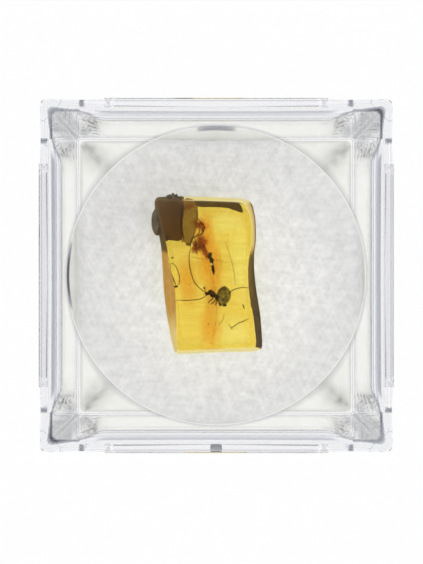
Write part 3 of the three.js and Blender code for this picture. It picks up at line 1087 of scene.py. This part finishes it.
# Red stains: dark red blots near the face, an orange halo under them, and the orange vein below that.
halo = [
    blot(-1.2, 3.0, face - 1.05, 0.95, 1.35, 0.25, 0.2, 27),
    blot(-1.3, 4.4, face - 1.05, 0.8, 0.6, -0.4, 0.2, 28),
]
trapped_blots(
    "stain_halo",
    halo,
    speckled_material(
        "stain_halo", (0.6, 0.16, 0.015, 1), (0.85, 0.36, 0.04, 1), 1500.0, 2.0, 0.6, alpha=0.7
    ),
)
stains = [
    blot(-1.5, 4.5, face - 0.75, 0.62, 0.34, -0.5, 0.3, 3),
    blot(-1.15, 4.1, face - 0.82, 0.22, 0.45, 0.3, 0.3, 4),
    blot(-1.3, 2.75, face - 0.9, 0.62, 0.75, 0.2, 0.3, 5),
    blot(-1.15, 2.95, face - 0.8, 0.42, 0.5, 0.2, 0.35, 6),
    blot(-1.05, 2.75, face - 0.75, 0.3, 0.55, 0.1, 0.3, 19),
    blot(-1.75, 2.5, face - 0.95, 0.4, 0.6, 0.4, 0.35, 17),
    blot(-0.85, 2.0, face - 1.0, 0.3, 0.7, 0.25, 0.2, 7),
    blot(-2.2, 6.0, face - 1.0, 0.5, 0.45, 0.3, 0.2, 18),
]
trapped_blots(
    "red_stains",
    stains,
    speckled_material(
        "red_stain", (0.04, 0.006, 0.003, 1), (0.4, 0.09, 0.01, 1), 2200.0, 2.6, 0.6, alpha=0.95
    ),
)
vein = [
    blot(-0.7, 4.1, face - 1.6, 0.7, 1.9, 0.15, 0.1, 8),
    blot(-0.3, 1.4, face - 1.7, 1.0, 2.4, 0.05, 0.1, 9),
    blot(-0.6, 1.0, face - 1.8, 1.6, 2.2, 0.0, 0.12, 10),
    blot(-0.2, -1.6, face - 1.7, 1.1, 2.2, 0.0, 0.12, 11),
    blot(-0.5, -4.4, face - 1.7, 1.1, 2.2, 0.0, 0.12, 12),
    blot(-2.4, -0.4, face - 1.9, 1.0, 2.8, 0.1, 0.12, 13),
]
trapped_blots(
    "orange_vein",
    vein,
    speckled_material(
        "orange_vein", (0.78, 0.33, 0.03, 1), (0.96, 0.52, 0.08, 1), 600.0, 1.4, 0.8, alpha=0.48
    ),
)

# Plant hairs: fine brown threads just under the face, each (points, radius).
HAIR_Z = face - 0.25
LOOP_Z = face - 0.3
hairs = [
    ([(-2.9, 5.93), (-2.97, 4.51), (-2.86, 3.75), (-2.74, 3.18)], 0.045),
    (
        [
            (-1.62, 5.84), (-1.53, 4.98), (-1.05, 4.41), (-0.96, 4.17),
            (-1.24, 3.65), (-1.91, 3.37), (-2.14, 2.99), (-2.19, 2.42),
        ],
        0.045,
    ),
    ([(-1.34, 4.51), (-1.43, 3.75), (-1.76, 3.56)], 0.035),
    ([(-1.9, 3.4), (-1.72, 3.0), (-1.78, 2.6), (-1.5, 2.3)], 0.03),
    ([(1.27, -4.47), (1.51, -4.37), (1.99, -4.04), (2.37, -3.9), (2.9, -3.65)], 0.035),
    ([(1.08, -4.09), (1.27, -4.37), (1.46, -4.61)], 0.025),
    ([(0.75, -3.19), (0.64, -3.71), (0.47, -3.99), (0.23, -4.23)], 0.02),
    ([(0.85, 2.99), (1.23, 1.85), (1.56, 0.52), (1.7, -0.81)], 0.018),
    ([(-2.0, 1.66), (-1.53, 1.56), (-0.96, 1.51)], 0.015),
    ([(-0.2, 1.47), (0.94, 1.18)], 0.015),
    ([(-0.62, -4.05), (-0.6, -4.2)], 0.03),
    ([(-0.01, -4.0), (0.0, -4.15)], 0.03),
]
hair_look = speckled_material(
    "hair_brown", (0.012, 0.006, 0.002, 1), (0.035, 0.018, 0.005, 1), 4000.0, 1.0, 0.5
)
hair_tubes = [tube(*hair, HAIR_Z - 0.02 * k) for k, hair in enumerate(hairs)]
loop = [
    (-3.92, 0.98), (-3.78, 1.12), (-3.45, 0.85), (-3.2, 0.25),
    (-3.12, -0.34), (-3.22, -0.7), (-3.42, -0.86),
]
hair_tubes.append(tube(loop, 0.035, LOOP_Z))
hair_tubes.append(tube([(-3.91, 0.95), (-3.82, 0.4), (-3.64, -0.2), (-3.42, -0.86)], 0.03, LOOP_Z))
trapped(skin("plant_hairs", *hair_tubes), hair_look)

# Vein lines: two fine orange lines above the vein.
vein_lines = [
    ([(-0.39, 0.33), (-0.15, -0.81), (0.09, -2.33), (0.07, -3.47), (-0.12, -4.61), (-0.31, -6.0)], 0.022),
    ([(-0.5, 0.1), (-0.36, -0.9), (-0.2, -2.1), (-0.25, -3.4)], 0.015),
]
VEIN_Z = face - 1.3
trapped(
    skin("vein_lines", *[tube(*line, VEIN_Z - 0.1 * k, per=10) for k, line in enumerate(vein_lines)]),
    speckled_material("vein_orange", (0.55, 0.17, 0.01, 1), (0.75, 0.3, 0.02, 1), 1500.0, 1.0, 0.6),
)

# Flakes and bubble: specks of dark plant dust, lumpy flat beads, and one air bubble, a pale bead that is
# its painted highlight.
flakes = [
    bead(-0.5, 1.8, face - 0.8, 0.26, 0.16, 0.08, 1.2, 0.3, 21),
    bead(-0.36, 1.4, face - 0.85, 0.32, 0.15, 0.07, -1.2, 0.3, 22),
    bead(-0.25, 0.75, face - 0.85, 0.42, 0.13, 0.07, -1.35, 0.25, 23),
    bead(-0.18, 0.35, face - 0.9, 0.22, 0.08, 0.05, -1.4, 0.15, 24),
    bead(-3.4, -0.88, face - 0.35, 0.12, 0.1, 0.06, 0.0, 0.1, 25),
    bead(-0.96, -1.0, face - 0.9, 0.11, 0.07, 0.05, 1.2, 0.1, 26),
    bead(2.4, -2.6, face - 1.0, 0.22, 0.05, 0.04, -1.2, 0.1, 27),
    bead(-3.7, 1.6, face - 1.3, 0.12, 0.06, 0.04, 0.3, 0.1, 28),
    bead(-2.4, 2.75, face - 0.8, 0.15, 0.1, 0.05, 0.3, 0.2, 29),
]
trapped(
    skin("dark_flakes", *flakes),
    speckled_material("flake_black", (0.012, 0.008, 0.003, 1), (0.07, 0.04, 0.012, 1), 5000.0, 2.0, 0.35),
)
trapped(
    skin("bubble", bead(-0.36, 1.05, face - 0.7, 0.07, 0.1, 0.04, 0.3, 0.1, 30)),
    speckled_material("bubble_highlight", (0.7, 0.7, 0.6, 1), (0.95, 0.95, 0.9, 1), 6000.0, 1.0, 0.2),
)

# Gnat: head, thorax and broken parts as dark beads, legs and feelers as (points, radius), soft abdomen.
GNAT_Z = face - 1.0
chitin = speckled_material("chitin", (0.008, 0.005, 0.003, 1), (0.05, 0.03, 0.012, 1), 6000.0, 1.5, 0.25)
gnat = [
    bead(-0.74, -1.5, GNAT_Z, 0.2, 0.15, 0.13, -0.3, 0.08, 31),
    bead(-0.55, -1.34, GNAT_Z + 0.08, 0.13, 0.12, 0.1, 0, 0.08, 32),
    bead(-0.3, -1.5, GNAT_Z + 0.03, 0.38, 0.27, 0.2, -0.45, 0.12, 33),
    bead(0.0, -1.72, GNAT_Z, 0.24, 0.18, 0.14, -0.7, 0.12, 34),
    bead(0.17, -1.98, GNAT_Z - 0.02, 0.2, 0.15, 0.12, -0.9, 0.1, 35),
    bead(0.42, -2.36, GNAT_Z - 0.05, 0.16, 0.12, 0.08, 0.4, 0.2, 37),
    bead(0.76, -2.46, GNAT_Z - 0.05, 0.18, 0.1, 0.08, -0.3, 0.2, 38),
    bead(1.2, -1.5, GNAT_Z - 0.05, 0.09, 0.07, 0.05, 0.5, 0.1, 39),
]
limbs = [
    (
        [
            (-2.17, 2.42), (-2.29, 1.66), (-2.24, 0.9), (-2.05, 0.04),
            (-1.76, -0.62), (-1.24, -1.14), (-0.81, -1.44),
        ],
        0.04,
    ),
    ([(-3.26, -2.05), (-2.48, -2.07), (-1.62, -2.01), (-1.15, -1.88), (-0.77, -1.62)], 0.036),
    ([(-0.67, -2.35), (-0.48, -2.09), (-0.27, -1.95), (-0.2, -1.7)], 0.045),
    ([(-0.42, -2.4), (-0.12, -2.2), (0.0, -1.85)], 0.045),
    ([(0.0, -2.5), (0.05, -2.25), (0.1, -2.0)], 0.045),
    ([(0.99, -1.52), (1.23, -1.4), (1.51, -1.17), (2.08, -1.0), (2.73, -0.94)], 0.036),
    ([(0.37, -2.6), (0.4, -2.45), (0.45, -2.3)], 0.05),
    ([(0.7, -2.65), (0.72, -2.5), (0.72, -2.35)], 0.05),
    ([(-0.96, -1.0), (-0.9, -1.2), (-0.8, -1.4)], 0.03),
]
trapped(skin("gnat_body", *gnat, *[tube(*limb, GNAT_Z) for limb in limbs]), chitin)
abdomen = bead(0.68, -1.72, GNAT_Z - 0.15, 0.84, 0.58, 0.35, 1.35, 0.05, 36, sides=32, rings=20)
trapped(
    skin("gnat_abdomen", abdomen, fade=[np.ones(abdomen.shape[:2])]),
    speckled_material(
        "soft_abdomen", (0.02, 0.014, 0.006, 1), (0.3, 0.23, 0.07, 1), 3200.0, 3.2, 0.4, alpha=0.9
    ),
)

# ==== Rough crust: unpolished weathered skin left on the specimen's far left corner ====
# A dark lump on the side wall and a small crust of crystals along the far edge.
crust = [bead(-4.82, 4.55, face - 2.3, 0.5, 1.15, 1.4, -0.05, 0.04, 41, sides=32, rings=20)]
rng = np.random.default_rng(7)
for x in np.linspace(-4.05, -2.8, 11):
    size = rng.uniform(0.09, 0.15)
    y = 6.62 + 0.16 * math.sin((x + 4.3) * 2.1) + rng.uniform(-0.05, 0.05)
    z = rng.uniform(face - 2.3, face - 0.9)
    turn = rng.uniform(0, 3)
    seed = int(rng.integers(99))
    crust.append(bead(x, y, z, size, size * 0.9, size * 1.3, turn, 0.25, seed, sides=10, rings=7))
trapped(
    skin("weathered_crust", *crust),
    speckled_material("weathered_crust", (0.05, 0.036, 0.016, 1), (0.18, 0.13, 0.055, 1), 1800.0, 2.0, 0.7),
)
